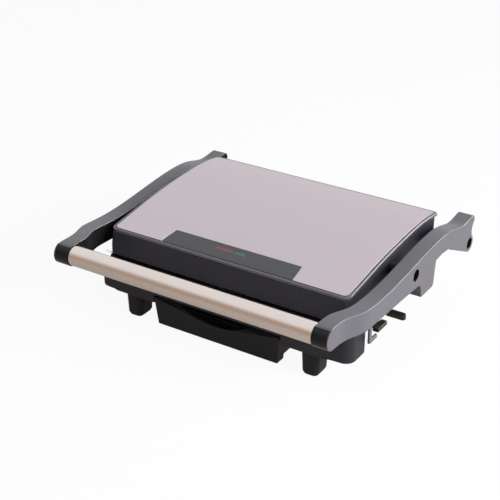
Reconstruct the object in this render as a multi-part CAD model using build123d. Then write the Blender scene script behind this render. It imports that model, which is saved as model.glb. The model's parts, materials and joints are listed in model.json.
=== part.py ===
from build123d import *
import math
import os

# Contact grill with a floating lid, two side arms, a tube handle and a pull-out drip tray.
# Millimetres. X runs along the handle, +Y points to the hinge at the rear, +Z points up.
# The origin lies on the table under the middle of the outline.

# Overall size and the arms
overall_width = 350.0
overall_depth = 320.0
arm_thickness = 18.0
nose_radius = 12.0
nose_inset = 9.6
nose_curve_start = 8.0
nose_curve_length = 50.0
tube_axis_z = 87.0
tube_radius = 11.0
tube_wall = 1.2
tube_end_gap = 0.2
arm_dip_behind_tube = 78.0
arm_dip_z = 94.0
arm_rise_behind_tube = 135.0
arm_rise_z = 96.4
arm_hump_from_rear = 96.0
arm_hump_z = 102.6
arm_fall_from_rear = 58.0
arm_fall_z = 99.4
arm_neck_from_rear = 36.0
arm_neck_z = 93.8
arm_underside_z = 69.0
arm_heel_z = 82.5
tail_round = 7.0

# Lobe under the float pivot
lobe_front_from_rear = 135.0
lobe_length = 31.0
lobe_bottom_z = 51.5
lobe_round = 4.0

# Hinge at the tails and float pivot at the middle of the lid
hinge_set_in = 10.0
hinge_axis_z = 62.0
hinge_pin_radius = 4.5
float_pivot_from_rear = 150.0
float_pivot_z = 85.0
pivot_pin_radius = 3.5
pivot_head_radius = 5.5
pivot_head_height = 3.0
pivot_slot = 1.2
running_clearance = 0.05
recess_radius = 6.5
recess_depth = 6.0
bushing_radius = 7.0

# Handle insets
plug_length = 20.0
spigot_radius = 5.0
spigot_depth = 9.0
cap_depth = 3.4
cap_top_angle = 65.0
cap_bottom_angle = -55.0
cap_side_wall = 0.8
fit_gap = 0.15

# Storage hook under the right arm
hook_thickness = 2.5
hook_from_outer_face = 8.5
hook_front_behind_tube = 74.0
hook_bar_width = 5.0
hook_reach = 17.0
hook_bottom_z = 42.5
hook_foot_height = 4.3

# Lower body
housing_to_arm_gap = 15.0
base_front_behind_tube = 46.0
base_rear_set_in = 46.0
base_bottom_z = 28.0
base_top_z = 61.0
base_corner = 14.0
wall = 2.5
pod_reach = 18.5
pod_length = 38.5
pod_top_z = 68.0
left_pod_reach = 11.5
left_pod_length = 34.0
left_pod_top_z = 56.0
pod_corner = 11.0
pod_step = 2.0
rim_overhang = 4.0
tall = 400.0
rim_height = 4.0
rim_front_reach = 2.0
rim_rear_reach = 10.0
rim_corner = 14.0

# Grill plates and heaters
plate_gap = 0.3
plate_thickness = 6.0
rib_height = 2.4
rib_width = 4.0
rib_pitch = 12.0
rib_margin = 14.0
rib_clearance = 0.8
upper_plate_set_back = 2.0
element_radius = 3.4
element_inset = 34.0
reflector_wall = 0.8
reflector_depth = 12.0
reflector_inset = 24.0
stud_radius = 3.5
stud_inset = 12.0
stud_from_middle = 60.0
lid_stud_from_middle = 107.0

# Drip tray and its tunnel
tray_width = 157.0
tray_taper = 3.0
tray_to_base_rear = 38.0
tray_bottom_z = 3.0
tray_top_z = 36.5
tray_wall = 2.0
tray_front_thickness = 11.0
tray_front_proud = 1.5
tray_flange_width = 4.0
tray_flange_height = 2.0
tray_gap = 1.0
runner_height = 2.0
runner_gap = 0.3
finger_width = 88.0
finger_drop = 12.0
finger_depth = 8.0

# Feet
foot_width = 19.0
foot_length = 25.0
foot_corner = 6.0
foot_set_in = 30.5
foot_front_behind_tube = 50.0
foot_rear_set_in = 16.0
foot_taper = 2.5
pad_height = 2.0
pad_inset = 1.5

# Lid
lid_to_arm_gap = 9.5
lid_frame_front_behind_tube = 62.0
lid_frame_rear_set_in = 37.5
lid_front_z = 94.2
lid_slope_behind_tube = 127.0
lid_slope_z = 103.4
lid_crown_from_rear = 108.0
lid_crown_z = 109.1
lid_fall_from_rear = 60.0
lid_fall_z = 108.2
lid_rear_z = 104.8
lid_frame_corner = 7.0
lid_frame_height = 3.4
lid_panel_inset = 3.2
lid_panel_thickness = 0.8
crown_margin = 9.0
lid_panel_proud = 0.3
lid_ledge = 12.0
skirt_to_arm_gap = 12.5
skirt_front_behind_tube = 55.0
skirt_rear_set_in = 38.0
skirt_lean = 12.5
skirt_corner = 6.0
skirt_to_rim = 2.0
pivot_boss_depth = 12.0
pivot_boss_wall = 4.0

# Indicator window and its lamps
window_width = 163.0
window_depth = 24.5
window_thickness = 2.4
window_side_slope = 3.0
red_lens_length = 21.0
green_lens_length = 14.0
lens_width = 4.5
lens_height = 3.2
red_lens_x = -10.5
green_lens_x = 9.0
lens_behind_window_front = 15.5
bulb_radius = 2.6
bulb_length = 12.0

# Storage latch and hinge release lever on the right
knob_width = 7.0
knob_length = 20.0
knob_height = 4.4
knob_front_behind_tube = 92.0
knob_bottom_z = 47.4
knob_from_outer_face = 8.0
latch_travel = 11.0
stem_length = 12.0
stem_height = 3.2
guide_length = 18.0
guide_thickness = 2.0
slot_gap = 0.4
lever_from_rear = 147.5
lever_width = 7.0
lever_height = 6.4
lever_bottom_z = 27.6
lever_shank_height = 3.0
lever_shank_width = 6.0
lever_end_from_outer_face = 10.0
lever_grip_gap = 1.4
lever_pivot_set_in = 24.0
lever_pin_radius = 3.0
lever_swing = 10.0
lever_boss_radius = 7.0
spring_radius = 5.5
spring_height = 6.0

# Small hardware
cover_thickness = 2.5
cover_gap = 0.3
cover_margin = 5.0
screw_head_radius = 3.2
screw_head_height = 1.6
screw_radius = 1.6
screw_length = 9.0
bracket_thickness = 14.0
bracket_foot_thickness = 3.0
bracket_foot_length = 20.0
bracket_foot_bottom_z = 42.0
bracket_neck_bottom_z = 56.6
bracket_round = 9.0
bracket_screw_margin = 5.0
bracket_screw_pitch = 10.0
washer_thickness = 0.8
gland_radius = 8.0
gland_length = 16.0
gland_from_middle = 96.0
gland_z = 48.0
gland_bore = 3.6
thermostat_radius = 8.0
thermostat_height = 7.0
fuse_radius = 2.4
fuse_length = 14.0
terminal_size = (30.0, 18.0, 14.0)

# Places worked out from the sizes above
arm_outer_x = overall_width / 2
arm_inner_x = arm_outer_x - arm_thickness
tube_y = -overall_depth / 2 + nose_radius
rear_y = overall_depth / 2
hinge_y = rear_y - hinge_set_in
pivot_y = rear_y - float_pivot_from_rear
nose_inner_x = arm_inner_x - nose_inset
nose_outer_x = arm_outer_x - nose_inset
base_half = arm_inner_x - housing_to_arm_gap
foot_x = base_half - foot_set_in
base_front_y = tube_y + base_front_behind_tube
base_rear_y = rear_y - base_rear_set_in
rim_half = base_half + rim_overhang
rim_front_y = base_front_y + rim_front_reach
rim_rear_y = base_rear_y + rim_rear_reach
rim_top_z = base_top_z + rim_height
plate_half = base_half - wall - 1.0
plate_front_y = rim_front_y + 4.0
plate_rear_y = base_rear_y - wall - 1.0
lower_plate_top_z = rim_top_z - rib_height + 0.5
lower_plate_bottom_z = lower_plate_top_z - plate_thickness
upper_plate_bottom_z = lower_plate_top_z + 2 * rib_height + rib_clearance
skirt_half = arm_inner_x - skirt_to_arm_gap
skirt_front_y = tube_y + skirt_front_behind_tube
skirt_rear_y = rear_y - skirt_rear_set_in
skirt_bottom_z = rim_top_z + skirt_to_rim
frame_half = arm_inner_x - lid_to_arm_gap
frame_front_y = tube_y + lid_frame_front_behind_tube
frame_rear_y = rear_y - lid_frame_rear_set_in
panel_half = frame_half - lid_panel_inset
panel_front_y = frame_front_y + lid_panel_inset
panel_rear_y = frame_rear_y - lid_panel_inset
tray_half = tray_width / 2
tunnel_half = tray_half + tray_gap
tray_front_y = base_front_y - tray_front_proud
tray_rear_y = base_rear_y - tray_to_base_rear
tunnel_top_z = tray_top_z + tray_gap
roof_top_z = tunnel_top_z + wall
lever_y = rear_y - lever_from_rear
lever_pivot_x = base_half - lever_pivot_set_in
lever_top_z = lever_bottom_z + lever_height
lever_shank_bottom_z = lever_top_z - lever_shank_height
bracket_outer_x = arm_inner_x - 2 * plate_gap - washer_thickness
bracket_inner_x = bracket_outer_x - bracket_thickness


def block(x_range, y_range, z_range):
    size = (x_range[1] - x_range[0], y_range[1] - y_range[0], z_range[1] - z_range[0])
    middle = (sum(x_range) / 2, sum(y_range) / 2, sum(z_range) / 2)
    return Pos(*middle) * Box(*size)


def rounded_block(half_width, y_range, z_range, corner):
    outline = RectangleRounded(2 * half_width, y_range[1] - y_range[0], corner)
    return Pos(0, sum(y_range) / 2, z_range[0]) * extrude(outline, z_range[1] - z_range[0])


def bar_x(x_range, y, z, radius):
    length = x_range[1] - x_range[0]
    return Pos(sum(x_range) / 2, y, z) * Rot(0, 90, 0) * Cylinder(radius, length)


def post_z(x, y, z_range, radius):
    return Pos(x, y, sum(z_range) / 2) * Cylinder(radius, z_range[1] - z_range[0])


def post_y(x, z, y_range, radius):
    return Pos(x, sum(y_range) / 2, z) * Rot(90, 0, 0) * Cylinder(radius, y_range[1] - y_range[0])


def on_left(shape):
    return mirror(shape, about=Plane.YZ)


def both_sides(shape):
    return Compound([shape, on_left(shape)])


def side_prism(edges, x_range):
    face = Plane.YZ * make_face(edges)
    return extrude(Pos(x_range[0], 0, 0) * face, x_range[1] - x_range[0], dir=(1, 0, 0))


# Arms

def arm_side_profile():
    nose_top = (tube_y, tube_axis_z + nose_radius)
    nose_bottom = (tube_y, tube_axis_z - nose_radius)
    tail_top = (rear_y - tail_round, arm_neck_z + 1.6)
    tail_back = (rear_y - 0.5, arm_neck_z - tail_round)
    tail_corner = (rear_y - tail_round / 3, arm_neck_z - 0.6)
    around = [math.radians(a) for a in (35, -45, -115)]
    disc = [(hinge_y + hinge_set_in * math.cos(a), hinge_axis_z + hinge_set_in * math.sin(a)) for a in around]
    waist = (rear_y - 5.8, (tail_back[1] + disc[0][1]) / 2)
    heel_rear = (disc[2][0] - 50.0, arm_heel_z - 5.0)
    heel_front = (heel_rear[0] - 16.0, arm_heel_z)
    heel_bend = (heel_rear[0] - 7.0, arm_heel_z - 1.0)
    lobe_front_y = rear_y - lobe_front_from_rear
    lobe_rear_y = lobe_front_y + lobe_length
    lobe_top = (lobe_rear_y + 3.0, arm_heel_z - 2.0)
    shoulder = (lobe_front_y - 12.0, arm_underside_z)
    hollow = (lobe_front_y - 4.0, arm_underside_z - 2.2)
    lobe_upper = (lobe_front_y - 1.0, arm_underside_z - 8.0)
    dip = (tube_y + arm_dip_behind_tube, arm_dip_z)
    rise = (tube_y + arm_rise_behind_tube, arm_rise_z)
    hump = (rear_y - arm_hump_from_rear, arm_hump_z)
    fall = (rear_y - arm_fall_from_rear, arm_fall_z)
    neck = (rear_y - arm_neck_from_rear, arm_neck_z)
    flat = (1, 0)
    return [
        Spline([nose_top, dip, rise, hump, fall, neck, tail_top], tangents=[flat, (1, 0.1)]),
        ThreePointArc(tail_top, tail_corner, tail_back),
        ThreePointArc(tail_back, waist, disc[0]),
        ThreePointArc(disc[0], disc[1], disc[2]),
        Line(disc[2], heel_rear),
        ThreePointArc(heel_rear, heel_bend, heel_front),
        Line(heel_front, lobe_top),
        Line(lobe_top, (lobe_rear_y, lobe_bottom_z + lobe_round)),
        ThreePointArc(
            (lobe_rear_y, lobe_bottom_z + lobe_round),
            (lobe_rear_y - lobe_round * 0.3, lobe_bottom_z + lobe_round * 0.3),
            (lobe_rear_y - lobe_round, lobe_bottom_z),
        ),
        Line((lobe_rear_y - lobe_round, lobe_bottom_z), (lobe_front_y + 1.0, lobe_bottom_z)),
        Line((lobe_front_y + 1.0, lobe_bottom_z), lobe_upper),
        ThreePointArc(lobe_upper, hollow, shoulder),
        Line(shoulder, nose_bottom),
        ThreePointArc(nose_bottom, (tube_y - nose_radius, tube_axis_z), nose_top),
    ]


def arm_plan():
    start = tube_y + nose_curve_start
    middle = start + nose_curve_length / 2
    end = start + nose_curve_length
    front = tube_y - nose_radius - 1.0
    rear = rear_y + 1.0
    edges = [
        Line((nose_outer_x, front), (nose_outer_x, start)),
        Bezier((nose_outer_x, start), (nose_outer_x, middle), (arm_outer_x, middle), (arm_outer_x, end)),
        Line((arm_outer_x, end), (arm_outer_x, rear)),
        Line((arm_outer_x, rear), (arm_inner_x, rear)),
        Line((arm_inner_x, rear), (arm_inner_x, end)),
        Bezier((arm_inner_x, end), (arm_inner_x, middle), (nose_inner_x, middle), (nose_inner_x, start)),
        Line((nose_inner_x, start), (nose_inner_x, front)),
        Line((nose_inner_x, front), (nose_outer_x, front)),
    ]
    return extrude(make_face(edges), arm_hump_z + 20.0)


def cap_sector(inner_radius, outer_radius, x_range):
    reach = outer_radius * 3
    top = math.radians(180 - cap_top_angle)
    bottom = math.radians(180 - cap_bottom_angle)
    centre = (tube_y, tube_axis_z)
    upper = (tube_y + reach * math.cos(top), tube_axis_z + reach * math.sin(top))
    lower = (tube_y + reach * math.cos(bottom), tube_axis_z + reach * math.sin(bottom))
    far = (tube_y - reach, tube_axis_z)
    wedge = side_prism([Line(centre, upper), Line(upper, far), Line(far, lower), Line(lower, centre)], x_range)
    ring = bar_x(x_range, tube_y, tube_axis_z, outer_radius) - bar_x(x_range, tube_y, tube_axis_z, inner_radius)
    return ring & wedge


def arm():
    body = side_prism(arm_side_profile(), (nose_inner_x - 5.0, arm_outer_x + 5.0)) & arm_plan()
    body = body.solids()[0]
    recess = (arm_outer_x - recess_depth, arm_outer_x + 1.0)
    through = (arm_inner_x - 1.0, arm_outer_x)
    body -= bar_x(recess, pivot_y, float_pivot_z, recess_radius)
    body -= bar_x(through, pivot_y, float_pivot_z, pivot_pin_radius + fit_gap)
    body -= bar_x(recess, hinge_y, hinge_axis_z, recess_radius)
    body -= bar_x(through, hinge_y, hinge_axis_z, hinge_pin_radius + running_clearance)
    cap_x = (nose_inner_x - 1.0, nose_outer_x - cap_side_wall)
    body -= cap_sector(nose_radius - cap_depth, nose_radius + 1.0, cap_x)
    body -= bar_x((nose_inner_x - 1.0, nose_inner_x + spigot_depth), tube_y, tube_axis_z, spigot_radius)
    return body


def storage_hook():
    outer = arm_outer_x - hook_from_outer_face
    inner = outer - hook_thickness
    front = tube_y + hook_front_behind_tube
    top = arm_underside_z + 6.0
    bar = block((inner, outer), (front, front + hook_bar_width), (hook_bottom_z, top))
    foot = block(
        (inner, outer),
        (front, front + hook_reach),
        (hook_bottom_z, hook_bottom_z + hook_foot_height),
    )
    hook = bar + foot
    corner = hook.edges().filter_by(Axis.X).group_by(Axis.Z)[0]
    return fillet(corner, hook_foot_height * 0.45)


def handle_tube():
    reach = nose_inner_x - tube_end_gap
    return bar_x((-reach, reach), tube_y, tube_axis_z, tube_radius) - bar_x(
        (-reach, reach), tube_y, tube_axis_z, tube_radius - tube_wall
    )


def handle_plug():
    end = nose_inner_x - tube_end_gap
    plug = bar_x((end - plug_length, end), tube_y, tube_axis_z, tube_radius - tube_wall)
    return plug + bar_x((end - 1.0, nose_inner_x + spigot_depth), tube_y, tube_axis_z, spigot_radius)


def nose_cap():
    return cap_sector(nose_radius - cap_depth, nose_radius, (nose_inner_x, nose_outer_x - cap_side_wall))


def pivot_screw():
    face = arm_outer_x - recess_depth
    head = bar_x((face, face + pivot_head_height), pivot_y, float_pivot_z, pivot_head_radius)
    slot = block(
        (face + pivot_head_height - pivot_slot, arm_outer_x),
        (pivot_y - pivot_head_radius, pivot_y + pivot_head_radius),
        (float_pivot_z - pivot_slot / 2, float_pivot_z + pivot_slot / 2),
    )
    tip = skirt_half - pivot_boss_depth + 1.0
    shank = bar_x((tip, arm_outer_x - recess_depth + 0.5), pivot_y, float_pivot_z, pivot_pin_radius)
    return head + shank - slot


def pivot_bushing():
    x_range = (skirt_half + plate_gap, arm_inner_x)
    bore = pivot_pin_radius + fit_gap
    return bar_x(x_range, pivot_y, float_pivot_z, bushing_radius) - bar_x(x_range, pivot_y, float_pivot_z, bore)


# Hinge

def hinge_pin():
    outer = arm_outer_x - recess_depth
    shank = bar_x((bracket_inner_x - 2.0, outer), hinge_y, hinge_axis_z, hinge_pin_radius)
    head = bar_x((outer + running_clearance, outer + 2.4), hinge_y, hinge_axis_z, hinge_pin_radius + 1.2)
    neck = bar_x((outer - 1.0, outer + 1.0), hinge_y, hinge_axis_z, hinge_pin_radius)
    return shank + neck + head


def hinge_washer():
    x_range = (bracket_outer_x + plate_gap, bracket_outer_x + plate_gap + washer_thickness)
    return bar_x(x_range, hinge_y, hinge_axis_z, bracket_round - 0.5) - bar_x(
        x_range, hinge_y, hinge_axis_z, hinge_pin_radius
    )


def hinge_bracket():
    x_range = (bracket_inner_x, bracket_outer_x)
    ear = bar_x(x_range, hinge_y, hinge_axis_z, bracket_round)
    low_y = hinge_y - bracket_round * 0.35
    low_z = hinge_axis_z - bracket_round * 0.92
    arm_top = hinge_axis_z + bracket_round * 0.35
    foot_top = base_top_z - 1.0
    neck = side_prism(
        [
            Line((base_rear_y, bracket_neck_bottom_z), (low_y, low_z)),
            Line((low_y, low_z), (hinge_y, arm_top)),
            Line((hinge_y, arm_top), (rim_rear_y + 1.0, foot_top)),
            Line((rim_rear_y + 1.0, foot_top), (base_rear_y, foot_top)),
            Line((base_rear_y, foot_top), (base_rear_y, bracket_neck_bottom_z)),
        ],
        x_range,
    )
    foot_x = (bracket_inner_x - bracket_foot_length, bracket_inner_x)
    foot_y = (base_rear_y, base_rear_y + bracket_foot_thickness)
    foot_plate = block(foot_x, foot_y, (bracket_foot_bottom_z, foot_top))
    link = block((foot_x[0], bracket_outer_x), foot_y, (bracket_neck_bottom_z, foot_top))
    bore_radius = hinge_pin_radius + running_clearance
    bore = bar_x((bracket_inner_x - 1.0, bracket_outer_x + 1.0), hinge_y, hinge_axis_z, bore_radius)
    bracket = ear + neck + foot_plate + link - bore
    for x, z in bracket_screw_spots():
        bracket -= post_y(x, z, (foot_y[0] - 1.0, foot_y[1] + 1.0), screw_radius + fit_gap)
    return bracket


def bracket_screw_spots():
    x = bracket_inner_x - bracket_foot_length + bracket_screw_margin
    z = (bracket_foot_bottom_z + base_top_z) / 2
    return [(x, z), (x + bracket_screw_pitch, z)]


def bracket_screws():
    seat = base_rear_y + bracket_foot_thickness
    solids = []
    for x, z in bracket_screw_spots():
        head = post_y(x, z, (seat, seat + screw_head_height), screw_head_radius)
        shank = post_y(x, z, (base_rear_y - wall - 2.0, seat + 0.2), screw_radius)
        solids.append(head + shank)
    return solids


# Lower body

def front_pod(reach, length, top_z):
    outer = base_half + reach
    y_range = (base_front_y, base_front_y + length)
    pod = rounded_block(outer, y_range, (base_bottom_z + pod_step, top_z), pod_corner)
    pod -= block((-outer - 1.0, base_half - base_corner), (base_front_y - 1.0, base_rear_y), (0, tall))
    if top_z > base_top_z:
        pod -= block((0, rim_half + plate_gap), (base_front_y - 1.0, base_rear_y), (base_top_z, tall))
    return pod


def base_housing():
    body = rounded_block(base_half, (base_front_y, base_rear_y), (base_bottom_z, base_top_z), base_corner)
    body += front_pod(pod_reach, pod_length, pod_top_z)
    body += on_left(front_pod(left_pod_reach, left_pod_length, left_pod_top_z))
    inner_half = base_half - wall
    inner_y = (base_front_y + wall, base_rear_y - wall)
    body -= rounded_block(inner_half, inner_y, (roof_top_z, base_top_z + 1.0), base_corner - wall)
    side = (tunnel_half + wall, inner_half)
    for x_range in (side, (-side[1], -side[0])):
        body -= block(x_range, (inner_y[0] + base_corner, inner_y[1] - base_corner), (base_bottom_z - 1.0, roof_top_z + 1.0))
    tunnel_y = (base_front_y - 1.0, tray_rear_y + tray_gap)
    body -= block((-tunnel_half, tunnel_half), tunnel_y, (base_bottom_z - 1.0, tunnel_top_z))
    flange_bottom = tray_top_z - tray_flange_height
    for sign in (-1, 1):
        x_range = sorted((sign * tunnel_half, sign * (tray_half - tray_flange_width + runner_gap)))
        runner_y = (base_front_y + tray_front_thickness + 6.0, tray_rear_y)
        body += block(x_range, runner_y, (flange_bottom - runner_gap - runner_height, flange_bottom - runner_gap))
    stem_y = knob_stem_range()
    stem_z = (knob_bottom_z + (knob_height - stem_height) / 2, knob_bottom_z + (knob_height + stem_height) / 2)
    body -= block(
        (base_half - wall - 1.0, base_half + 1.0),
        (stem_y[0] - latch_travel - slot_gap, stem_y[1] + slot_gap),
        (stem_z[0] - slot_gap, stem_z[1] + slot_gap),
    )
    swing = (base_half - lever_pivot_x) * math.tan(math.radians(lever_swing)) + 1.0
    body -= block(
        (base_half - wall - 1.0, base_half + 1.0),
        (lever_y - lever_shank_width / 2 - swing, lever_y + lever_shank_width / 2 + slot_gap),
        (lever_shank_bottom_z - slot_gap, lever_top_z + slot_gap),
    )
    for sign in (-1, 1):
        for x, z in bracket_screw_spots():
            body -= post_y(sign * x, z, (base_rear_y - 3 * wall, base_rear_y + 1.0), screw_radius)
        for x, y in cover_screw_spots():
            z_range = (base_bottom_z + cover_thickness, base_bottom_z + screw_length + 2.0)
            body += post_z(sign * x, y, z_range, cover_margin + 0.8)
            body -= post_z(sign * x, y, (z_range[0] - 1.0, z_range[1] - 1.0), screw_radius)
    body -= Pos(-gland_from_middle, base_rear_y, gland_z) * Rot(90, 0, 0) * Cylinder(gland_radius - 2.0 + fit_gap, 4 * wall)
    return body


def base_rim():
    outer = rounded_block(rim_half, (rim_front_y, rim_rear_y), (base_top_z, rim_top_z), rim_corner)
    hole = rounded_block(
        plate_half + plate_gap,
        (plate_front_y - plate_gap, plate_rear_y + plate_gap),
        (base_top_z - 1.0, rim_top_z + 1.0),
        base_corner - wall,
    )
    return outer - hole


def cover_range():
    return (tunnel_half + wall + cover_gap, base_half - wall - cover_gap)


def cover_span():
    inner = (base_front_y + wall + base_corner, base_rear_y - wall - base_corner)
    return (inner[0] + cover_gap, inner[1] - cover_gap)


def bottom_cover():
    cover = block(cover_range(), cover_span(), (base_bottom_z, base_bottom_z + cover_thickness))
    for x, y in cover_screw_spots():
        cover -= post_z(x, y, (0, tall), screw_radius + fit_gap)
    return cover


def cover_screw_spots():
    xs = cover_range()
    ys = cover_span()
    return [(x, y) for x in (xs[0] + cover_margin, xs[1] - cover_margin) for y in (ys[0] + 40.0, ys[1] - cover_margin)]


def cover_screws():
    solids = []
    for x, y in cover_screw_spots():
        head = post_z(x, y, (base_bottom_z - screw_head_height, base_bottom_z), screw_head_radius)
        shank = post_z(x, y, (base_bottom_z - 0.2, base_bottom_z + screw_length), screw_radius)
        solids.append(head + shank)
    return solids


def foot_places():
    front = tube_y + foot_front_behind_tube + foot_length / 2
    rear = base_rear_y - foot_rear_set_in - foot_length / 2
    return front, rear


def foot(y):
    outline = RectangleRounded(foot_width, foot_length, foot_corner)
    height = base_bottom_z - pad_height
    post = extrude(outline, height, taper=-foot_taper)
    return Pos(foot_x, y, pad_height) * post


def foot_pad(y):
    outline = RectangleRounded(foot_width - 2 * pad_inset, foot_length - 2 * pad_inset, foot_corner - pad_inset)
    return Pos(foot_x, y, 0) * extrude(outline, pad_height)


# Grill plates and heaters

def ribs(z_range, y_range):
    count = int((plate_half - rib_margin) // rib_pitch)
    places = [i * rib_pitch for i in range(-count, count + 1)]
    span = (y_range[0] + rib_margin, y_range[1] - rib_margin)
    return [block((x - rib_width / 2, x + rib_width / 2), span, z_range) for x in places]


def lower_plate():
    y_range = (plate_front_y, plate_rear_y)
    plate = rounded_block(plate_half, y_range, (lower_plate_bottom_z, lower_plate_top_z), base_corner - wall)
    drain = block((-15.0, 15.0), (plate_front_y + 4.0, plate_front_y + 8.0), (0, tall))
    return plate + ribs((lower_plate_top_z - 0.5, lower_plate_top_z + rib_height), y_range) - drain


def upper_plate_outline():
    half = skirt_half - wall - plate_gap
    return half, (skirt_front_y + wall + plate_gap + upper_plate_set_back, skirt_rear_y - wall - plate_gap)


def upper_plate():
    half, y_range = upper_plate_outline()
    plate = rounded_block(half, y_range, (upper_plate_bottom_z, upper_plate_bottom_z + plate_thickness), skirt_corner - wall)
    return plate + ribs((upper_plate_bottom_z - rib_height, upper_plate_bottom_z + 0.5), y_range)


def heating_element(z):
    half = plate_half - element_inset
    front = plate_front_y + element_inset
    rear = plate_rear_y - element_inset
    bend = element_inset * 0.8
    ends_x = half * 0.35
    path = FilletPolyline(
        (-ends_x, rear, z), (-half, rear, z), (-half, front, z), (half, front, z), (half, rear, z), (ends_x, rear, z),
        radius=bend,
    )
    section = Plane(origin=path @ 0, z_dir=path % 0) * Circle(element_radius)
    return sweep(section, path=path)


def reflector(z_range, floor_at_bottom):
    half = plate_half - reflector_inset
    y_range = (plate_front_y + reflector_inset, plate_rear_y - reflector_inset)
    body = rounded_block(half, y_range, z_range, base_corner)
    inner_y = (y_range[0] + reflector_wall, y_range[1] - reflector_wall)
    inner_z = (z_range[0] + reflector_wall, z_range[1] + 1.0)
    if not floor_at_bottom:
        inner_z = (z_range[0] - 1.0, z_range[1] - reflector_wall)
    body -= rounded_block(half - reflector_wall, inner_y, inner_z, base_corner - reflector_wall)
    return body


def stud_spots():
    xs = (-stud_from_middle, stud_from_middle)
    ys = (plate_front_y + stud_inset, plate_rear_y - stud_inset)
    return [(x, y) for x in xs for y in ys]


def thermostat(z_range):
    return post_z(0, (plate_front_y + plate_rear_y) / 2, z_range, thermostat_radius)


def thermal_fuse(z):
    y = (plate_front_y + plate_rear_y) / 2 + 30.0
    return bar_x((-fuse_length / 2, fuse_length / 2), y, z, fuse_radius)


def terminal_block():
    x = -(tunnel_half + wall + 4.0)
    y = base_rear_y - 50.0
    size_x, size_y, size_z = terminal_size
    bottom = base_bottom_z + cover_thickness
    body = block((x - size_x, x), (y - size_y, y), (bottom, bottom + size_z))
    for step in (-9.0, 0.0, 9.0):
        body -= post_z(x - size_x / 2 + step, y - size_y / 2, (bottom + 6.0, bottom + size_z + 1.0), 2.2)
    return body


def cord_gland():
    place = Pos(-gland_from_middle, base_rear_y, gland_z) * Rot(90, 0, 0)
    flange = place * Pos(0, 0, -1.5) * Cylinder(gland_radius, 3.0)
    neck = place * Pos(0, 0, wall / 2) * Cylinder(gland_radius - 2.0, 2 * wall + 1.0)
    snout = place * Pos(0, 0, -gland_length / 2) * Cylinder(gland_radius - 3.0, gland_length)
    bore = place * Cylinder(gland_bore, 4 * gland_length)
    return flange + neck + snout - bore


# Drip tray

def drip_tray():
    top_half = tray_half - tray_flange_width
    lower_half = top_half - tray_taper
    floor_y = tray_front_y + tray_front_thickness - 1.0
    outline_low = Pos(0, (floor_y + tray_rear_y) / 2, tray_bottom_z) * RectangleRounded(
        2 * lower_half, tray_rear_y - floor_y - 2 * tray_taper, 6.0
    )
    outline_top = Pos(0, (floor_y + tray_rear_y) / 2, tray_top_z) * RectangleRounded(
        2 * top_half, tray_rear_y - floor_y, 6.0
    )
    tub = loft([outline_low, outline_top])
    flange = block(
        (-tray_half, tray_half), (floor_y, tray_rear_y), (tray_top_z - tray_flange_height, tray_top_z)
    )
    front = side_prism(
        [
            Line((tray_front_y, tray_top_z), (tray_front_y + tray_taper, tray_bottom_z)),
            Line((tray_front_y + tray_taper, tray_bottom_z), (floor_y + 6.0, tray_bottom_z)),
            Line((floor_y + 6.0, tray_bottom_z), (floor_y + 6.0, tray_top_z)),
            Line((floor_y + 6.0, tray_top_z), (tray_front_y, tray_top_z)),
        ],
        (-tray_half, tray_half),
    )
    for sign in (-1, 1):
        cheek = [
            Line((sign * tray_half, tray_bottom_z - 1), (sign * (tray_half - tray_taper), tray_bottom_z - 1)),
            Line((sign * (tray_half - tray_taper), tray_bottom_z - 1), (sign * (tray_half + 0.1), tray_top_z + 1)),
            Line((sign * (tray_half + 0.1), tray_top_z + 1), (sign * (tray_half + 2), tray_top_z + 1)),
            Line((sign * (tray_half + 2), tray_top_z + 1), (sign * tray_half, tray_bottom_z - 1)),
        ]
        front -= Pos(0, floor_y + 7.0, 0) * extrude(Plane.XZ * make_face(cheek), 30.0)
    hollow_low = Pos(0, (floor_y + tray_rear_y) / 2 + 1.5, tray_bottom_z + tray_wall) * RectangleRounded(
        2 * (lower_half - tray_wall), tray_rear_y - floor_y - 2 * tray_taper - 2 * tray_wall - 5.0, 4.0
    )
    hollow_top = Pos(0, (floor_y + tray_rear_y) / 2 + 1.5, tray_top_z + 0.1) * RectangleRounded(
        2 * (top_half - tray_wall), tray_rear_y - floor_y - 2 * tray_wall - 5.0, 4.0
    )
    tray = tub + flange + front - loft([hollow_low, hollow_top])
    return tray - finger_recess()


def finger_recess():
    half = finger_width / 2
    top = tray_top_z + 1.0
    arc = ThreePointArc((-half, top), (0, tray_top_z - finger_drop), (half, top))
    face = Plane.XZ * make_face([arc, Line((half, top), (-half, top))])
    return extrude(Pos(0, tray_front_y + finger_depth, 0) * face, finger_depth + 5.0)


# Lid

def crown_line(drop):
    slope_rise = (lid_slope_z - lid_front_z) / (tube_y + lid_slope_behind_tube - frame_front_y)
    fall_run = frame_rear_y - (rear_y - lid_fall_from_rear)
    fall = (lid_fall_z - lid_rear_z) / fall_run
    points = [
        (frame_front_y - crown_margin, lid_front_z - crown_margin * slope_rise * 0.8),
        (frame_front_y, lid_front_z),
        (tube_y + lid_slope_behind_tube, lid_slope_z),
        (rear_y - lid_crown_from_rear, lid_crown_z),
        (rear_y - lid_fall_from_rear, lid_fall_z),
        (frame_rear_y, lid_rear_z),
        (frame_rear_y + crown_margin, lid_rear_z - crown_margin * fall),
    ]
    return Spline([(y, z - drop) for y, z in points])


def crown_slab(top_drop, bottom_drop, half):
    top = crown_line(top_drop)
    low = crown_line(bottom_drop)
    return side_prism([top, Line(top @ 1, low @ 1), low, Line(low @ 0, top @ 0)], (-half, half))


def under_crown(drop, half):
    low = crown_line(drop)
    floor = skirt_bottom_z - 5.0
    front = (low @ 0).X
    rear = (low @ 1).X
    sides = [Line(low @ 1, (rear, floor)), Line((rear, floor), (front, floor)), Line((front, floor), low @ 0)]
    return side_prism([low] + sides, (-half, half))


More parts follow.
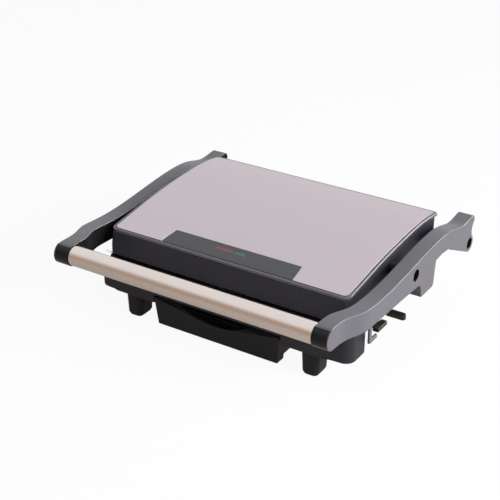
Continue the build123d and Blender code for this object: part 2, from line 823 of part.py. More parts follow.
def lid_outline(inset, corner, y_front=None, y_rear=None):
    front = frame_front_y + inset if y_front is None else y_front
    rear = frame_rear_y - inset if y_rear is None else y_rear
    return rounded_block(frame_half - inset, (front, rear), (0, tall), corner)


def lid_frame():
    frame = crown_slab(0, lid_frame_height, frame_half + 5) & lid_outline(0, lid_frame_corner)
    pocket = crown_slab(-5.0, lid_panel_thickness - lid_panel_proud, frame_half) & lid_outline(
        lid_panel_inset - fit_gap, lid_frame_corner - lid_panel_inset / 2
    )
    opening = lid_outline(lid_panel_inset + lid_ledge, 3.0)
    frame = frame - pocket - opening
    return frame - window_prism(fit_gap, 1.0, window_thickness - lid_panel_proud)


def lid_panel():
    skin = crown_slab(-lid_panel_proud, lid_panel_thickness - lid_panel_proud, frame_half) & lid_outline(
        lid_panel_inset, lid_frame_corner - lid_panel_inset / 2
    )
    return skin - window_prism(fit_gap, 5.0, 5.0)


def window_prism(grow, rise, depth):
    half = window_width / 2 + grow
    front = panel_front_y - grow
    rear = panel_front_y + window_depth + grow
    outline = make_face(
        Polyline((-half, front), (half, front), (half - window_side_slope, rear), (window_side_slope - half, rear), close=True)
    )
    return extrude(outline, tall) & crown_slab(-rise, depth, half + 5)


def lens_block(place, z_grow):
    x, length = place
    y = panel_front_y + lens_behind_window_front
    half_x = length / 2
    half_y = lens_width / 2
    return block((x - half_x, x + half_x), (y - half_y, y + half_y), (0, tall)) & crown_slab(
        -lid_panel_proud - z_grow, lens_height + z_grow, frame_half
    )


def indicator_window():
    window = window_prism(0, lid_panel_proud, window_thickness - lid_panel_proud)
    for place in lens_places():
        window -= lens_block(place, 5.0)
    return window


def lens_places():
    return ((red_lens_x, red_lens_length), (green_lens_x, green_lens_length))


def lamp_lens(place):
    return lens_block(place, 0)


def crown_z(y, drop):
    line = crown_line(drop)
    near, far = 0.0, 1.0
    for _ in range(24):
        middle = (near + far) / 2
        if (line @ middle).X < y:
            near = middle
        else:
            far = middle
    return (line @ near).Y


def lamp_bulb(place):
    x = place[0]
    y = panel_front_y + lens_behind_window_front
    z = crown_z(y, lens_height) - bulb_radius - 0.1
    return bar_x((x - bulb_length / 2, x + bulb_length / 2), y, z, bulb_radius)


def lid_skirt():
    outer = under_crown(lid_frame_height, skirt_half)
    leaning = skirt_solid(0)
    inner = skirt_solid(wall)
    shell = (outer & leaning) - inner
    boss = bar_x((skirt_half - pivot_boss_depth, skirt_half - 1.0), pivot_y, float_pivot_z, pivot_pin_radius + pivot_boss_wall)
    bore_x = (skirt_half - pivot_boss_depth - 1.0, skirt_half + 1.0)
    shell += boss
    shell += on_left(boss)
    bore = bar_x(bore_x, pivot_y, float_pivot_z, pivot_pin_radius + running_clearance)
    return shell - bore - on_left(bore)


def skirt_solid(inset):
    height = 45.0
    half = skirt_half - inset
    low_y = (skirt_front_y + inset, skirt_rear_y - inset)
    outline = rounded_block(half, low_y, (skirt_bottom_z - 0.01 * inset, skirt_bottom_z + height), skirt_corner - inset * 0.8)
    lean_front = side_prism(
        [
            Line((low_y[0] - 1.0, skirt_bottom_z - 1.0), (low_y[0], skirt_bottom_z)),
            Line((low_y[0], skirt_bottom_z), (low_y[0] + skirt_lean, skirt_bottom_z + height)),
            Line((low_y[0] + skirt_lean, skirt_bottom_z + height), (low_y[0] - 1.0, skirt_bottom_z + height)),
            Line((low_y[0] - 1.0, skirt_bottom_z + height), (low_y[0] - 1.0, skirt_bottom_z - 1.0)),
        ],
        (-half - 1.0, half + 1.0),
    )
    if inset:
        return outline + rounded_block(half, low_y, (skirt_bottom_z - 1.0, skirt_bottom_z + 1.0), skirt_corner - inset * 0.8) - lean_front
    return outline - lean_front


def upper_studs():
    half, y_range = upper_plate_outline()
    bottom = upper_plate_bottom_z + plate_thickness
    ledge_front = panel_front_y + lid_ledge / 2
    ledge_rear = panel_rear_y - lid_ledge / 2
    solids = []
    for x in (-lid_stud_from_middle, lid_stud_from_middle):
        for y in (ledge_front, ledge_rear):
            top = crown_z(y, lid_frame_height) - 1.0
            solids.append(post_z(x, y, (bottom, top), stud_radius))
    return solids


# Storage latch and hinge release lever

def knob_stem_range():
    middle = tube_y + knob_front_behind_tube + knob_length / 2
    return (middle - stem_length / 2, middle + stem_length / 2)


def latch_slider():
    outer = arm_outer_x - knob_from_outer_face
    front = tube_y + knob_front_behind_tube
    knob = block((outer - knob_width, outer), (front, front + knob_length), (knob_bottom_z, knob_bottom_z + knob_height))
    knob = fillet(knob.edges().filter_by(Axis.Z), 1.2)
    stem_y = knob_stem_range()
    stem_z = (knob_bottom_z + (knob_height - stem_height) / 2, knob_bottom_z + (knob_height + stem_height) / 2)
    inner = base_half - wall - slot_gap - guide_thickness
    stem = block((inner, outer - knob_width + 0.5), stem_y, stem_z)
    middle = (stem_y[0] + stem_y[1]) / 2
    guide = block(
        (inner, inner + guide_thickness),
        (middle - guide_length / 2, middle + guide_length / 2),
        (stem_z[0] - 3.0, stem_z[1] + 3.0),
    )
    return knob + stem + guide


def release_lever():
    y = lever_y
    end = arm_outer_x - lever_end_from_outer_face
    grip_z = (lever_bottom_z, lever_top_z)
    shank_z = (lever_shank_bottom_z, lever_top_z)
    half = lever_width / 2
    grip_start = base_half + lever_grip_gap
    grip = block((grip_start, end - half), (y - half, y + half), grip_z)
    grip += post_z(end - half, y, grip_z, half)
    shank_half = lever_shank_width / 2
    shank = block((lever_pivot_x, grip_start + 1.0), (y - shank_half, y + shank_half), shank_z)
    boss = post_z(lever_pivot_x, y, shank_z, lever_boss_radius)
    return grip + shank + boss - post_z(lever_pivot_x, y, (0, tall), lever_pin_radius + running_clearance)


def lever_pin():
    y = lever_y
    return post_z(lever_pivot_x, y, (base_bottom_z + cover_thickness, lever_top_z + spring_height + 1.5), lever_pin_radius)


def lever_spring():
    y = lever_y
    bottom = lever_top_z + slot_gap
    sleeve = post_z(lever_pivot_x, y, (bottom, bottom + spring_height), spring_radius)
    return sleeve - post_z(lever_pivot_x, y, (0, tall), lever_pin_radius)


def all_nodes():
    right_arm = arm()
    left_arm = on_left(right_arm)
    front_foot_y, rear_foot_y = foot_places()
    element_drop = element_radius
    plate_top_z = upper_plate_bottom_z + plate_thickness
    reflector_top = lower_plate_bottom_z
    lenses = lens_places()
    return {
        "base_housing": base_housing(),
        "base_rim": base_rim(),
        "bottom_cover_right": bottom_cover(),
        "bottom_cover_left": on_left(bottom_cover()),
        "bottom_cover_screws": Compound(cover_screws() + [on_left(s) for s in cover_screws()]),
        "front_feet": both_sides(foot(front_foot_y)),
        "rear_feet": both_sides(foot(rear_foot_y)),
        "foot_pads": Compound([s for y in foot_places() for s in (foot_pad(y), on_left(foot_pad(y)))]),
        "lower_plate": lower_plate(),
        "lower_plate_studs": Compound([post_z(x, y, (roof_top_z, lower_plate_bottom_z), stud_radius) for x, y in stud_spots()]),
        "lower_element": heating_element(lower_plate_bottom_z - element_drop),
        "lower_reflector": reflector((reflector_top - reflector_depth, reflector_top), True),
        "lower_thermostat": thermostat((reflector_top - thermostat_height, reflector_top)),
        "lower_thermal_fuse": thermal_fuse(reflector_top - fuse_radius),
        "terminal_block": terminal_block(),
        "cord_gland": cord_gland(),
        "hinge_bracket_right": hinge_bracket(),
        "hinge_bracket_left": on_left(hinge_bracket()),
        "bracket_screws": Compound(bracket_screws() + [on_left(s) for s in bracket_screws()]),
        "hinge_pins": both_sides(hinge_pin()),
        "hinge_washers": both_sides(hinge_washer()),
        "arm_right": right_arm,
        "arm_left": left_arm,
        "storage_hook": storage_hook() - right_arm,
        "handle_tube": handle_tube(),
        "handle_plugs": both_sides(handle_plug()),
        "nose_caps": both_sides(nose_cap()),
        "float_pivot_screws": both_sides(pivot_screw()),
        "pivot_bushings": both_sides(pivot_bushing()),
        "lid_skirt": lid_skirt(),
        "lid_frame": lid_frame(),
        "lid_panel": lid_panel(),
        "indicator_window": indicator_window(),
        "lamp_lens_red": lamp_lens(lenses[0]),
        "lamp_lens_green": lamp_lens(lenses[1]),
        "lamp_bulbs": Compound([lamp_bulb(place) for place in lenses]),
        "upper_plate": upper_plate(),
        "upper_plate_studs": Compound(upper_studs()),
        "upper_element": heating_element(plate_top_z + element_drop),
        "upper_reflector": reflector((plate_top_z, plate_top_z + reflector_depth), False),
        "upper_thermostat": thermostat((plate_top_z, plate_top_z + thermostat_height)),
        "upper_thermal_fuse": thermal_fuse(plate_top_z + fuse_radius),
        "drip_tray": drip_tray(),
        "latch_slider": latch_slider(),
        "release_lever": release_lever(),
        "lever_pin": lever_pin(),
        "lever_spring": lever_spring(),
    }


os.makedirs("parts", exist_ok=True)
for name, shape in all_nodes().items():
    export_step(shape, f"parts/{name}.step")
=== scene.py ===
import json
import math

import bmesh
import bpy
from mathutils import Matrix, Vector

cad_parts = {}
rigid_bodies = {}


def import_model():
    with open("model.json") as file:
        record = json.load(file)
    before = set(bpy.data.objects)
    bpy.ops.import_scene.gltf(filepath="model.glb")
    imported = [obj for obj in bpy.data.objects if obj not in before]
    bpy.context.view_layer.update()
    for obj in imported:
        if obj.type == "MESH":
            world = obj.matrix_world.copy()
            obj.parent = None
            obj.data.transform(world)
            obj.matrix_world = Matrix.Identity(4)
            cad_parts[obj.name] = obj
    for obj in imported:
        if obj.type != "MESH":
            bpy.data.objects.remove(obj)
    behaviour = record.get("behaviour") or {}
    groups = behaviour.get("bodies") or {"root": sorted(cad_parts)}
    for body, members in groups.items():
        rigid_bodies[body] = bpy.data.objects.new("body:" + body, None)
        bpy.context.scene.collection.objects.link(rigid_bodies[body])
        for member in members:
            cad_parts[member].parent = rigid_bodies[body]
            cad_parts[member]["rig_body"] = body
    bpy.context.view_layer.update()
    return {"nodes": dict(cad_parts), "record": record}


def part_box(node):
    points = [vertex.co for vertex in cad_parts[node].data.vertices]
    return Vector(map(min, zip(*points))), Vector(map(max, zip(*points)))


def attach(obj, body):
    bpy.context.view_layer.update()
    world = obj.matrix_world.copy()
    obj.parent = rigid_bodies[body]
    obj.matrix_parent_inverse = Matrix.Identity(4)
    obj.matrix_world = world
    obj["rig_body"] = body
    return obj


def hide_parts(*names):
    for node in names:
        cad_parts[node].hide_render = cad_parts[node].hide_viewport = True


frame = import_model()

nodes = frame["nodes"]
slot_of = {part["node"]: part["material_slot"] for part in frame["record"]["subparts"]}

WHITE = (1, 1, 1)


# Shader nodes

class Term:
    """A shader socket that can be used in sums."""

    def __init__(self, graph, socket):
        self.graph = graph
        self.socket = socket

    def __add__(self, other):
        return self.graph.calculate("ADD", self, other)

    def __radd__(self, other):
        return self.graph.calculate("ADD", other, self)

    def __mul__(self, other):
        return self.graph.calculate("MULTIPLY", self, other)

    def __rmul__(self, other):
        return self.graph.calculate("MULTIPLY", other, self)


class Graph:
    """The nodes of one material or of the world."""

    def __init__(self, owner):
        owner.use_nodes = True
        self.tree = owner.node_tree
        self.tree.nodes.clear()

    def add(self, kind, settings, values):
        node = self.tree.nodes.new(kind)
        for key, value in settings.items():
            if key == "stops":
                self.set_stops(node.color_ramp, value)
            else:
                setattr(node, key, value)
        for key, value in values.items():
            self.feed(node.inputs[key], value)
        return node

    def feed(self, socket, value):
        if isinstance(value, Term):
            self.tree.links.new(value.socket, socket)
        else:
            socket.default_value = value

    def result(self, node, output=0):
        return Term(self, node.outputs[output])

    def set_stops(self, ramp, stops):
        while len(ramp.elements) < len(stops):
            ramp.elements.new(0.5)
        for element, (place, shade) in zip(ramp.elements, stops):
            element.position = place
            element.color = (shade, shade, shade, 1)

    def calculate(self, operation, first, second):
        return self.result(self.add("ShaderNodeMath", {"operation": operation}, {0: first, 1: second}))

    def mix(self, factor, first, second):
        values = {0: factor, 6: (*first, 1), 7: (*second, 1)}
        return self.result(self.add("ShaderNodeMix", {"data_type": "RGBA"}, values), 2)


# Finishes

class Finish(Graph):
    """One material. Its uniform values sit on the shader's own sockets."""

    def __init__(self, name, **uniform):
        self.material = bpy.data.materials.new(name)
        super().__init__(self.material)
        values = {key.replace("_", " "): value for key, value in uniform.items()}
        self.shader = self.add("ShaderNodeBsdfPrincipled", {}, values)
        self.output = self.add("ShaderNodeOutputMaterial", {}, {})
        self.show(self.result(self.shader))

    def show(self, surface):
        self.feed(self.output.inputs["Surface"], surface)

    def place(self, scale):
        coordinates = self.add("ShaderNodeTexCoord", {}, {})
        values = {"Vector": self.result(coordinates, "Object"), "Scale": scale}
        return self.result(self.add("ShaderNodeMapping", {}, values))

    def noise(self, scale, detail=2.0, stretch=(1, 1, 1)):
        values = {"Vector": self.place(stretch), "Scale": scale, "Detail": detail}
        return self.result(self.add("ShaderNodeTexNoise", {}, values), "Fac")

    def ramp(self, factor, *stops):
        return self.result(self.add("ShaderNodeValToRGB", {"stops": stops}, {"Fac": factor}), "Color")

    def bump(self, height, strength, distance):
        values = {"Height": height, "Strength": strength, "Distance": distance}
        return self.result(self.add("ShaderNodeBump", {}, values))

    def set(self, **values):
        for key, value in values.items():
            self.feed(self.shader.inputs[key.replace("_", " ")], value)
        return self.material


def shaded(color, amount):
    return tuple(c * amount for c in color)


def moulded_plastic(name, color, roughness, grain=2200.0, depth=0.00003, specular=0.35):
    finish = Finish(name, Specular_IOR_Level=specular)
    cloud = finish.noise(9.0, 3.0)
    fine = finish.noise(grain, 2.0)
    return finish.set(
        Base_Color=finish.mix(cloud, shaded(color, 0.85), shaded(color, 1.15)),
        Roughness=roughness - 0.04 + 0.08 * finish.noise(35.0, 3.0),
        Normal=finish.bump(fine, 0.35, depth),
    )


def metallic_paint(name, color, roughness, metallic, coat=0.12, specular=0.3):
    finish = Finish(name, Coat_Roughness=0.16, Coat_IOR=1.45, Coat_Weight=coat, Specular_IOR_Level=specular)
    flakes = finish.noise(5200.0, 1.0)
    sweep = finish.noise(6.0, 2.0)
    return finish.set(
        Base_Color=finish.mix(0.6 * flakes + 0.4 * sweep, shaded(color, 0.84), shaded(color, 1.18)),
        Metallic=metallic,
        Roughness=roughness - 0.03 + 0.06 * finish.noise(60.0, 3.0),
        Normal=finish.bump(flakes, 0.25, 0.00002),
    )


def brushed_metal(name, color, roughness, along, spread=0.12):
    finish = Finish(name, Metallic=1.0)
    coarse = tuple(25.0 if i == along else 900.0 for i in range(3))
    fine = tuple(60.0 if i == along else 3800.0 for i in range(3))
    lines = 0.55 * finish.noise(1.0, 3.0, coarse) + 0.45 * finish.noise(1.0, 2.0, fine)
    cloud = finish.noise(7.0, 2.0)
    return finish.set(
        Base_Color=finish.mix(0.7 * lines + 0.3 * cloud, shaded(color, 1 - spread), shaded(color, 1 + spread)),
        Roughness=roughness - 0.05 + 0.1 * lines,
        Normal=finish.bump(lines, 0.12, 0.00003),
    )


def plain_metal(name, color, roughness):
    finish = Finish(name, Metallic=1.0)
    wear = finish.noise(140.0, 4.0)
    return finish.set(
        Base_Color=finish.mix(wear, shaded(color, 0.8), shaded(color, 1.15)),
        Roughness=roughness - 0.06 + 0.14 * wear,
        Normal=finish.bump(finish.noise(900.0), 0.15, 0.00004),
    )


def gloss_plastic(name, color, roughness):
    finish = Finish(name, Coat_Roughness=0.05, Coat_Weight=0.10, Specular_IOR_Level=0.2)
    haze = finish.noise(22.0, 3.0)
    return finish.set(
        Base_Color=finish.mix(haze, shaded(color, 0.9), shaded(color, 1.12)),
        Roughness=roughness + 0.05 * haze,
        Normal=finish.bump(finish.noise(260.0, 2.0), 0.05, 0.00005),
    )


def soft_rubber(name, color):
    finish = Finish(name, Specular_IOR_Level=0.25)
    grain = finish.noise(1500.0, 3.0)
    return finish.set(
        Base_Color=finish.mix(finish.noise(60.0, 3.0), shaded(color, 0.8), shaded(color, 1.3)),
        Roughness=0.8 + 0.1 * grain,
        Normal=finish.bump(grain, 0.5, 0.00006),
    )


def nonstick_coating(name, color):
    finish = Finish(name, Specular_IOR_Level=0.45)
    speckle = finish.noise(1600.0, 2.0)
    return finish.set(
        Base_Color=finish.mix(finish.ramp(speckle, (0.45, 0.0), (0.75, 1.0)), color, shaded(color, 2.2)),
        Roughness=0.42 + 0.1 * finish.noise(45.0, 3.0),
        Normal=finish.bump(speckle, 0.3, 0.00005),
    )


def lamp_lens(name, color):
    finish = Finish(name, Coat_Roughness=0.1, Coat_Weight=0.4, Emission_Strength=0.06)
    ridges = finish.noise(1.0, 2.0, (900.0, 90.0, 90.0))
    shade = finish.mix(ridges, shaded(color, 0.35), color)
    return finish.set(Base_Color=shade, Emission_Color=shade, Roughness=0.25 + 0.15 * ridges)


def thin_glass(name):
    finish = Finish(name, Transmission_Weight=0.9, IOR=1.45)
    haze = finish.noise(300.0)
    return finish.set(Base_Color=finish.mix(haze, (0.85, 0.85, 0.85), (1, 1, 1)), Roughness=0.05 + 0.1 * haze)


finishes = {
    "body_plastic": moulded_plastic("moulded_body_black", (0.020, 0.019, 0.024), 0.45, specular=0.22),
    "cover_steel": metallic_paint("powder_coat_black", (0.022, 0.022, 0.023), 0.55, 0.1),
    "screw_steel": plain_metal("zinc_plated_screw", (0.60, 0.60, 0.62), 0.32),
    "foot_plastic": moulded_plastic("moulded_foot_black", (0.010, 0.010, 0.013), 0.42, specular=0.2),
    "foot_rubber": soft_rubber("foot_pad_rubber", (0.02, 0.02, 0.021)),
    "plate_cast": nonstick_coating("nonstick_plate_coating", (0.022, 0.022, 0.023)),
    "stud_steel": plain_metal("turned_stud_steel", (0.50, 0.50, 0.51), 0.35),
    "element_sheath": plain_metal("oxidised_heater_sheath", (0.24, 0.21, 0.19), 0.5),
    "reflector_sheet": plain_metal("bright_reflector_sheet", (0.78, 0.78, 0.80), 0.28),
    "thermostat_case": plain_metal("pressed_thermostat_case", (0.60, 0.60, 0.60), 0.35),
    "fuse_case": plain_metal("drawn_fuse_case", (0.72, 0.72, 0.73), 0.3),
    "terminal_plastic": moulded_plastic("terminal_block_cream", (0.60, 0.56, 0.44), 0.5),
    "gland_rubber": soft_rubber("cord_gland_rubber", (0.016, 0.016, 0.017)),
    "bracket_steel": metallic_paint("hinge_bracket_black", (0.025, 0.025, 0.027), 0.45, 0.2),
    "pin_steel": plain_metal("ground_pin_steel", (0.42, 0.42, 0.44), 0.3),
    "arm_paint": metallic_paint("arm_gunmetal_paint", (0.105, 0.103, 0.120), 0.45, 0.10, 0.45, 0.2),
    "tube_steel": brushed_metal("handle_brushed_steel", (0.73, 0.655, 0.63), 0.27, 0, 0.10),
    "plug_plastic": moulded_plastic("handle_plug_black", (0.015, 0.015, 0.016), 0.5),
    "cap_gloss": gloss_plastic("nose_cap_gloss_black", (0.007, 0.006, 0.008), 0.16),
    "screw_dark": plain_metal("blackened_screw", (0.012, 0.012, 0.014), 0.5),
    "bushing_plastic": moulded_plastic("pivot_bushing_black", (0.02, 0.02, 0.021), 0.45),
    "lid_plastic": moulded_plastic("moulded_lid_black", (0.027, 0.026, 0.036), 0.40, specular=0.25),
    "frame_paint": metallic_paint("lid_frame_graphite", (0.115, 0.107, 0.120), 0.34, 0.3, 0.6),
    "panel_steel": brushed_metal("lid_brushed_steel", (0.57, 0.51, 0.545), 0.36, 0, 0.05),
    "window_plastic": moulded_plastic("smoked_window", (0.055, 0.057, 0.064), 0.30, 3000.0, 0.00001),
    "lens_red": lamp_lens("red_lamp_lens", (0.22, 0.020, 0.022)),
    "lens_green": lamp_lens("green_lamp_lens", (0.012, 0.12, 0.06)),
    "bulb_glass": thin_glass("neon_bulb_glass"),
    "tray_plastic": moulded_plastic("drip_tray_black", (0.008, 0.008, 0.011), 0.38, specular=0.2),
    "latch_plastic": moulded_plastic("latch_black", (0.014, 0.014, 0.013), 0.32),
    "spring_steel": plain_metal("coiled_spring_steel", (0.50, 0.50, 0.50), 0.25),
}


def dress(piece, slot_name):
    if not piece.material_slots:
        piece.data.materials.append(finishes[slot_name])
    for material_slot in piece.material_slots:
        material_slot.material = finishes[slot_name]


for node_name, node_object in nodes.items():
    dress(node_object, slot_of[node_name])


# Pieces

MERGE_DISTANCE = 0.000002
FLAT_ANGLE = math.radians(0.6)
FACE_WEIGHT = 60


def add_piece(name, shape, body, slot_name, *stands_for):
    mesh = bpy.data.meshes.new(name)
    shape.to_mesh(mesh)
    shape.free()
    mesh.shade_smooth()
    piece = bpy.data.objects.new(name, mesh)
    bpy.context.scene.collection.objects.link(piece)
    dress(piece, slot_name)
    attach(piece, body)
    if stands_for:
        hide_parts(*stands_for)
    return piece


def round_edges(piece, width, segments, angle):
    bevel = piece.modifiers.new("rounded_edges", "BEVEL")
    bevel.width = width
    bevel.segments = segments
    bevel.limit_method = "ANGLE"
    bevel.angle_limit = math.radians(angle)
    bevel.profile = 0.5
    bevel.harden_normals = True
    bevel.use_clamp_overlap = False
    flat = piece.modifiers.new("flat_faces", "WEIGHTED_NORMAL")
    flat.weight = FACE_WEIGHT
    flat.keep_sharp = True
    return piece


def eased_copy(name, node_name, width, segments, angle=35.0):
    """The CAD node's shape with rounded edges."""
    source = nodes[node_name]
    shape = bmesh.new()
    shape.from_mesh(source.data)
    bmesh.ops.remove_doubles(shape, verts=shape.verts, dist=MERGE_DISTANCE)
    bmesh.ops.dissolve_limit(shape, angle_limit=FLAT_ANGLE, verts=shape.verts, edges=shape.edges)
    piece = add_piece(name, shape, source["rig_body"], slot_of[node_name], node_name)
    return round_edges(piece, width, segments, angle)


# Arms, with painted shade on the faces toward the lid and in the screw recesses

ARM_EDGE = 0.0009
RECESS_REACH = 0.0067
FACES_LID = -0.6
FACES_OUT = 0.5
recess_axes = []
for carried in ("float_pivot_screws", "hinge_pins"):
    low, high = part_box(carried)
    recess_axes.append(((low + high) / 2).yz)
# Near-black painted shade for the arms' faces toward the lid and the screw recess walls
painted_shade_face = moulded_plastic("painted_shade_inner_face", (0.006, 0.006, 0.007), 0.6, specular=0.1)


def paint_shade_on_inner_faces(piece, sign):
    piece.data.materials.append(painted_shade_face)
    for face in piece.data.polygons:
        outward = face.normal.x * sign
        near_axis = min((Vector(face.center.yz) - axis).length for axis in recess_axes) < RECESS_REACH
        # Faces turned toward the lid, and recess faces not turned outward, get the painted shade
        if outward < FACES_LID or (near_axis and outward < FACES_OUT):
            face.material_index = 1


for name, node_name, sign in (("right_arm", "arm_right", 1), ("left_arm", "arm_left", -1)):
    paint_shade_on_inner_faces(eased_copy(name, node_name, ARM_EDGE, 3, 32.0), sign)

# Piece, CAD node, edge width in metres, bevel segments
for row in (
    ("hook_plate", "storage_hook", 0.0005, 2),
    ("gloss_nose_caps", "nose_caps", 0.0004, 2),
    ("moulded_body", "base_housing", 0.0009, 3),
    ("plate_rim", "base_rim", 0.0010, 3),
    ("lid_side_wall", "lid_skirt", 0.0007, 2),
    ("lid_border", "lid_frame", 0.0010, 3),
    ("lid_steel_sheet", "lid_panel", 0.0003, 2),
    ("smoked_display", "indicator_window", 0.0003, 2),
    ("front_legs", "front_feet", 0.0012, 3),
    ("rear_legs", "rear_feet", 0.0012, 3),
    ("leg_pads", "foot_pads", 0.0004, 2),
    ("fat_tray", "drip_tray", 0.0007, 3),
    ("storage_knob", "latch_slider", 0.0006, 3),
    ("release_bar", "release_lever", 0.0008, 3),
    ("bracket_on_right", "hinge_bracket_right", 0.0007, 2),
    ("bracket_on_left", "hinge_bracket_left", 0.0007, 2),
    ("bottom_grill_plate", "lower_plate", 0.0007, 2),
    ("top_grill_plate", "upper_plate", 0.0007, 2),
    ("cover_on_right", "bottom_cover_right", 0.0005, 2),
    ("cover_on_left", "bottom_cover_left", 0.0005, 2),
    ("pivot_screw_pair", "float_pivot_screws", 0.0003, 2),
    ("hinge_pin_pair", "hinge_pins", 0.0004, 2),
):
    eased_copy(*row)


# Handle

TUBE_WALL = 0.0012
TUBE_LIP = 0.0005


def spun(profile, segments=96):
    """A closed ring of faces from (along, radius) points, turned about the X axis."""
    shape = bmesh.new()
    points = [shape.verts.new((along, 0.0, radius)) for along, radius in profile]
    edges = [shape.edges.new((points[i], points[(i + 1) % len(points)])) for i in range(len(points))]
    bmesh.ops.spin(
        shape, geom=points + edges, cent=(0, 0, 0), axis=(1, 0, 0), angle=math.tau, steps=segments, use_merge=True
    )
    bmesh.ops.remove_doubles(shape, verts=shape.verts, dist=0.000001)
    bmesh.ops.recalc_face_normals(shape, faces=shape.faces)
    return shape


tube_low, tube_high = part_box("handle_tube")
tube_middle = (tube_low + tube_high) / 2
tube_half = (tube_high.x - tube_low.x) / 2
tube_outer = (tube_high.z - tube_low.z) / 2
tube_inner = tube_outer - TUBE_WALL
tube = spun([
    (-tube_half, tube_inner), (-tube_half, tube_outer - TUBE_LIP), (-tube_half + TUBE_LIP, tube_outer),
    (tube_half - TUBE_LIP, tube_outer), (tube_half, tube_outer - TUBE_LIP), (tube_half, tube_inner),
])
bmesh.ops.translate(tube, vec=(0, tube_middle.y, tube_middle.z), verts=tube.verts)
round_edges(add_piece("brushed_handle", tube, "arms", "tube_steel", "handle_tube"), 0.00015, 2, 30.0)


# Cord gland with ribs

GLAND_BORE = 0.0036
GLAND_NECK = 0.006
GLAND_FLANGE = 0.008
FLANGE_THICKNESS = 0.003
FLANGE_EASE = 0.0004
NECK_TO_FLANGE_FACE = 0.00725
RIB_PITCH = 0.003
RIB_ROOT = 0.0042
RIB_TOP = 0.0050
RIB_SHRINK = 0.0001

gland_low, gland_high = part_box("cord_gland")
gland_x = (gland_low.x + gland_high.x) / 2
gland_z = (gland_low.z + gland_high.z) / 2
flange_face = gland_low.y + NECK_TO_FLANGE_FACE
flange_back = flange_face - FLANGE_THICKNESS
ribs = [
    (gland_low.y, GLAND_BORE), (gland_low.y, GLAND_NECK), (flange_back, GLAND_NECK), (flange_back, GLAND_FLANGE),
    (flange_face - FLANGE_EASE, GLAND_FLANGE), (flange_face, GLAND_FLANGE - FLANGE_EASE), (flange_face, RIB_TOP),
]
for step in range(4):
    start = flange_face + 0.001 + RIB_PITCH * step
    top = RIB_TOP - RIB_SHRINK * step
    ribs += [(start, RIB_ROOT), (start + 0.0004, top), (start + 0.0016, top), (start + 0.002, RIB_ROOT)]
ribs += [(gland_high.y, RIB_ROOT), (gland_high.y, GLAND_BORE)]
gland = spun(ribs, 48)
bmesh.ops.rotate(gland, cent=(0, 0, 0), matrix=Matrix.Rotation(math.pi / 2, 3, "Z"), verts=gland.verts)
bmesh.ops.translate(gland, vec=(gland_x, 0, gland_z), verts=gland.verts)
round_edges(add_piece("ribbed_cord_gland", gland, "base", "gland_rubber", "cord_gland"), 0.0002, 2, 30.0)


# Return spring of the release lever

WIRE_RADIUS = 0.0006
WIRE_MARGIN = 0.0007
TURNS, STEPS = 4, 24

spring_low, spring_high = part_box("lever_spring")
spring_middle = (spring_low + spring_high) / 2
wire = bpy.data.curves.new("return_spring", "CURVE")
wire.dimensions = "3D"
wire.bevel_depth = WIRE_RADIUS
wire.bevel_resolution = 3
line = wire.splines.new("POLY")
coil_radius = (spring_high.x - spring_low.x) / 2 - WIRE_MARGIN
rise = spring_high.z - spring_low.z - 2 * WIRE_MARGIN
line.points.add(TURNS * STEPS)
for i in range(TURNS * STEPS + 1):
    angle = math.tau * i / STEPS
    x = spring_middle.x + coil_radius * math.cos(angle)
    y = spring_middle.y + coil_radius * math.sin(angle)
    z = spring_low.z + WIRE_MARGIN + rise * i / (TURNS * STEPS)
    line.points[i].co = (x, y, z, 1)
coil_curve = bpy.data.objects.new("spring_wire_line", wire)
bpy.context.scene.collection.objects.link(coil_curve)
bpy.context.view_layer.update()
coil_shape = bmesh.new()
coil_shape.from_mesh(coil_curve.to_mesh())
coil_curve.to_mesh_clear()
bpy.data.objects.remove(coil_curve)
bmesh.ops.recalc_face_normals(coil_shape, faces=coil_shape.faces)
add_piece("return_spring", coil_shape, "base", "spring_steel", "lever_spring")


# Floor: near white to the camera, warm and darker where metal mirrors it

FLOOR_SIZE = 6.0
FLOOR_DROP = 0.0002
CAMERA_SHARE = 0.93
MIRRORED_SHARE = 0.7
MIRRORED_FLOOR = (0.46, 0.39, 0.33)

floor_shape = bmesh.new()
bmesh.ops.create_grid(floor_shape, x_segments=1, y_segments=1, size=FLOOR_SIZE)
floor_mesh = bpy.data.meshes.new("pale_floor")
floor_shape.to_mesh(floor_mesh)
floor_shape.free()
floor = bpy.data.objects.new("pale_floor", floor_mesh)
floor.location.z = -FLOOR_DROP
bpy.context.scene.collection.objects.link(floor)
floor_finish = Finish("pale_floor", Base_Color=(0.9, 0.9, 0.9, 1), Roughness=0.9, Specular_IOR_Level=0.1)
rays = floor_finish.add("ShaderNodeLightPath", {}, {})


def shown_to(ray, share, surface, color):
    """The surface, blended with a plain glow for one kind of ray."""
    glow = floor_finish.add("ShaderNodeEmission", {}, {"Color": (*color, 1), "Strength": 1.0})
    values = {0: share * floor_finish.result(rays, ray), 1: surface, 2: floor_finish.result(glow)}
    return floor_finish.result(floor_finish.add("ShaderNodeMixShader", {}, values))


ground = shown_to("Is Glossy Ray", MIRRORED_SHARE, floor_finish.result(floor_finish.shader), MIRRORED_FLOOR)
floor_finish.show(shown_to("Is Camera Ray", CAMERA_SHARE, ground, WHITE))
floor_mesh.materials.append(floor_finish.material)


# World: plain light, a white background, a warm front and a bright patch that only gloss shows

PLAIN_LEVEL = 0.24
WARM_ROOM = (0.50, 0.39, 0.30)
WARM_SIDE = (-0.80, -0.10)
WARM_HEIGHT = (0.35, 0.85)
PATCH_DIRECTION = (0.459, 0.748, 0.479)
PATCH_RIM = (0.93, 0.985)
PATCH_STRENGTH = 14.0

world = bpy.data.worlds.new("studio")
bpy.context.scene.world = world
sky = Graph(world)
light_path = sky.add("ShaderNodeLightPath", {}, {})
camera_ray = sky.result(light_path, "Is Camera Ray")
glossy_ray = sky.result(light_path, "Is Glossy Ray")
transmission_ray = sky.result(light_path, "Is Transmission Ray")


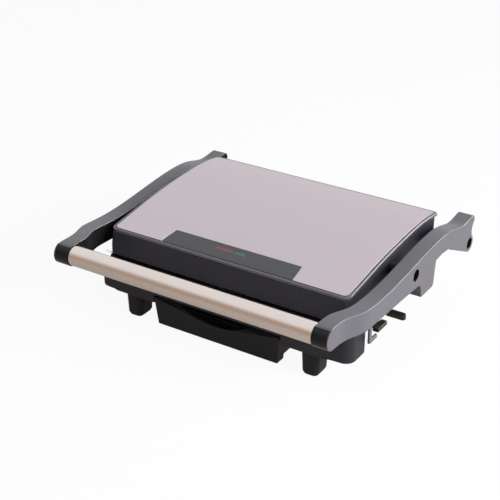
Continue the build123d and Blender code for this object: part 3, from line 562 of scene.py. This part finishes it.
def fade(value, limits, start, end):
    """A smooth change from start to end as the value passes between the limits."""
    low, high = limits
    values = {"Value": value, "From Min": low, "From Max": high, "To Min": start, "To Max": end}
    return sky.result(sky.add("ShaderNodeMapRange", {"interpolation_type": "SMOOTHSTEP"}, values))


direct = sky.calculate("MAXIMUM", camera_ray, glossy_ray)
seen_through = sky.calculate("MAXIMUM", direct, transmission_ray)
level = fade(seen_through, (0.0, 1.0), PLAIN_LEVEL, 1.0)
direction = sky.result(sky.add("ShaderNodeTexCoord", {}, {}), "Generated")
parts = sky.add("ShaderNodeSeparateXYZ", {}, {0: direction})
toward_front = fade(sky.result(parts, "Y"), WARM_SIDE, 1.0, 0.0)
near_floor = fade(sky.result(parts, "Z"), WARM_HEIGHT, 1.0, 0.0)
tint = sky.mix(toward_front * near_floor * glossy_ray, WHITE, WARM_ROOM)
toward_patch = sky.add("ShaderNodeVectorMath", {"operation": "DOT_PRODUCT"}, {0: direction, 1: PATCH_DIRECTION})
patch = fade(sky.result(toward_patch, "Value"), PATCH_RIM, 0.0, 1.0)
strength = PATCH_STRENGTH * (patch * glossy_ray) + level
backdrop = sky.add("ShaderNodeBackground", {}, {"Color": tint, "Strength": strength})
sky.add("ShaderNodeOutputWorld", {}, {"Surface": sky.result(backdrop)})


# Lamps, which gloss does not show

LAMP_AIM = Vector((0, 0, 0.05))


def soft_box(name, place, size, power):
    lamp = bpy.data.lights.new(name, "AREA")
    lamp.shape = "RECTANGLE"
    lamp.size, lamp.size_y = size
    lamp.energy = power
    lamp_object = bpy.data.objects.new(name, lamp)
    bpy.context.scene.collection.objects.link(lamp_object)
    lamp_object.visible_glossy = False
    lamp_object.location = place
    lamp_object.rotation_euler = (Vector(place) - LAMP_AIM).to_track_quat("Z", "Y").to_euler()


soft_box("right_light", (1.7, 0.1, 0.75), (1.2, 1.0), 56.0)
soft_box("overhead_light", (-0.3, 0.3, 1.8), (1.4, 1.4), 3.0)
soft_box("front_light", (-0.5, -1.8, 0.8), (1.2, 0.8), 5.0)


# Camera

CAMERA_AZIMUTH = math.radians(32.63)
CAMERA_ELEVATION = math.radians(27.35)
CAMERA_PLACE = (0.614, -0.993, 0.674)
FOCAL_LENGTH_PIXELS = 1198
PICTURE_WIDTH_PIXELS = 500
SENSOR_WIDTH = 36

level_reach = math.cos(CAMERA_ELEVATION)
back = Vector((
    math.sin(CAMERA_AZIMUTH) * level_reach, -math.cos(CAMERA_AZIMUTH) * level_reach, math.sin(CAMERA_ELEVATION)
))
across = Vector((math.cos(CAMERA_AZIMUTH), math.sin(CAMERA_AZIMUTH), 0))
upward = back.cross(across)
camera_data = bpy.data.cameras.new("photo_camera")
camera_data.lens = FOCAL_LENGTH_PIXELS / PICTURE_WIDTH_PIXELS * SENSOR_WIDTH
camera_data.sensor_width = SENSOR_WIDTH
camera = bpy.data.objects.new("photo_camera", camera_data)
bpy.context.scene.collection.objects.link(camera)
turned = Matrix((across, upward, back)).transposed().to_4x4()
camera.matrix_world = Matrix.Translation(CAMERA_PLACE) @ turned
bpy.context.scene.camera = camera
bpy.context.scene.view_settings.view_transform = "Standard"
